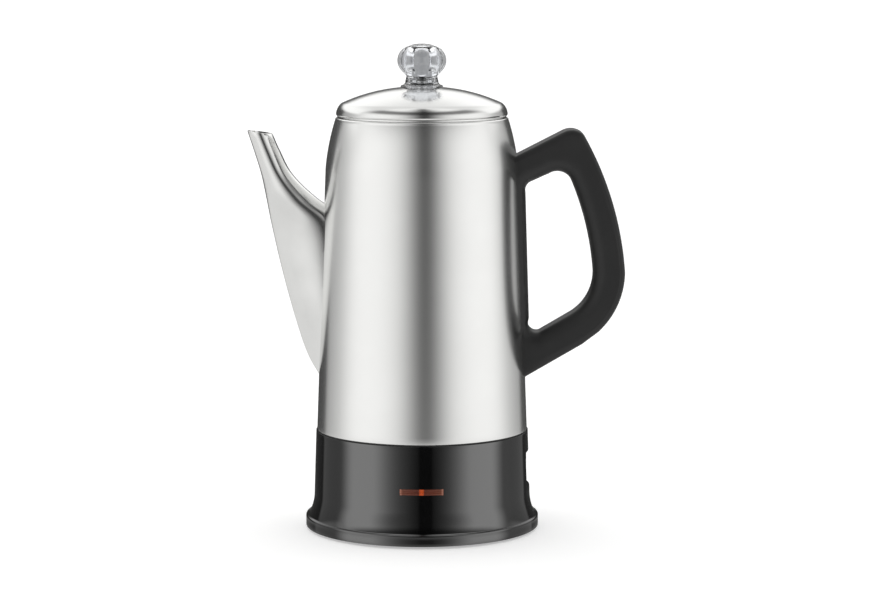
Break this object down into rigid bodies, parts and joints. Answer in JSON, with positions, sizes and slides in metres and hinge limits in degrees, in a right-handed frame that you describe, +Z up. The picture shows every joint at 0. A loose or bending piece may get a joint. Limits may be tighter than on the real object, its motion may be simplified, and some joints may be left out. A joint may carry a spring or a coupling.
{
  "type": "coffee percolator",
  "caption": "Tall electric percolator: tapered steel pot, curved spout, loop handle, glossy black base with cord inlet and lamp, lift-out pump, basket and spreader, lid with clear knob.",
  "frame": {"origin": "middle of the base, on the surface that the percolator stands on", "axes": "+Z up along the pot's axis, +X towards the handle and the cord inlet, -X towards the spout, -Y towards the indicator lamp at the front"},
  "size_m": [0.2331, 0.1452, 0.301],
  "materials": {
    "polished_steel": "drawn stainless steel, polished with a fine turned satin",
    "basket_steel": "thin stainless sheet, satin",
    "plain_steel": "plain steel, satin",
    "screw_steel": "zinc plated, satin",
    "handle_black": "moulded, fine satin",
    "base_black": "moulded, gloss",
    "cover_black": "moulded, fine texture",
    "socket_black": "heat resistant moulding",
    "foot_rubber": "matt",
    "seal_rubber": "silicone, satin",
    "well_brass": "turned",
    "pin_brass": "plated, polished",
    "element_steel": "heat tinted sheath",
    "plate_aluminium": "pressed sheet",
    "fuse_metal": "tinned",
    "lens_amber": "translucent, ribbed",
    "lamp_glass": "neon lamp",
    "wire_jacket": "silicone and glass braid",
    "knob_clear": "clear, polished"
  },
  "bodies": {
    "pot": {"pot_shell": "polished_steel", "spout": "polished_steel", "handle": "handle_black", "handle_upper_bracket": "plain_steel", "handle_lower_bracket": "plain_steel", "handle_upper_screw": "screw_steel", "handle_lower_screw": "screw_steel", "base_housing": "base_black", "base_cover": "cover_black", "rubber_feet": "foot_rubber", "floor_studs": "plain_steel", "housing_screws": "screw_steel", "base_cover_screws": "screw_steel", "base_gasket": "seal_rubber", "heater_well": "plain_steel", "well_gasket": "seal_rubber", "well_nut": "well_brass", "heating_element": "element_steel", "keep_warm_plate": "plate_aluminium", "thermostat": "plate_aluminium", "thermal_fuse": "fuse_metal", "inlet_socket": "socket_black", "inlet_pins": "pin_brass", "indicator_lens": "lens_amber", "lamp_holder": "socket_black", "indicator_lamp": "lamp_glass", "lamp_resistor": "fuse_metal", "live_wire": "wire_jacket", "neutral_wire": "wire_jacket", "thermostat_wire": "wire_jacket", "fuse_wire": "wire_jacket", "lamp_neutral_wire": "wire_jacket", "lamp_live_wire": "wire_jacket"},
    "stem": {"pump_foot": "basket_steel", "pump_tube": "basket_steel", "basket_stop": "basket_steel"},
    "valve": {"pump_valve": "plain_steel"},
    "basket": {"basket_cup": "basket_steel", "basket_hub": "basket_steel"},
    "spreader": {"basket_spreader": "basket_steel", "spreader_collar": "basket_steel"},
    "lid": {"lid_shell": "polished_steel", "lid_skirt": "polished_steel"},
    "knob": {"knob": "knob_clear"}
  },
  "joints": [
    {"name": "stem_lift", "type": "slide", "parent": "pot", "child": "stem", "axis": [0, 0, 1], "range_m": [0, 0.23]},
    {"name": "valve_lift", "type": "slide", "parent": "stem", "child": "valve", "axis": [0, 0, 1], "range_m": [0, 0.0015]},
    {"name": "basket_lift", "type": "slide", "parent": "stem", "child": "basket", "axis": [0, 0, 1], "range_m": [0, 0.085]},
    {"name": "spreader_lift", "type": "slide", "parent": "basket", "child": "spreader", "axis": [0, 0, 1], "range_m": [0, 0.04]},
    {"name": "lid_lift", "type": "slide", "parent": "spreader", "child": "lid", "axis": [0, 0, 1], "range_m": [0, 0.06]},
    {"name": "knob_twist", "type": "hinge", "parent": "lid", "child": "knob", "pos_m": [0, 0, 0.2747], "axis": [0, 0, 1], "range_deg": [0, 60]}
  ]
}
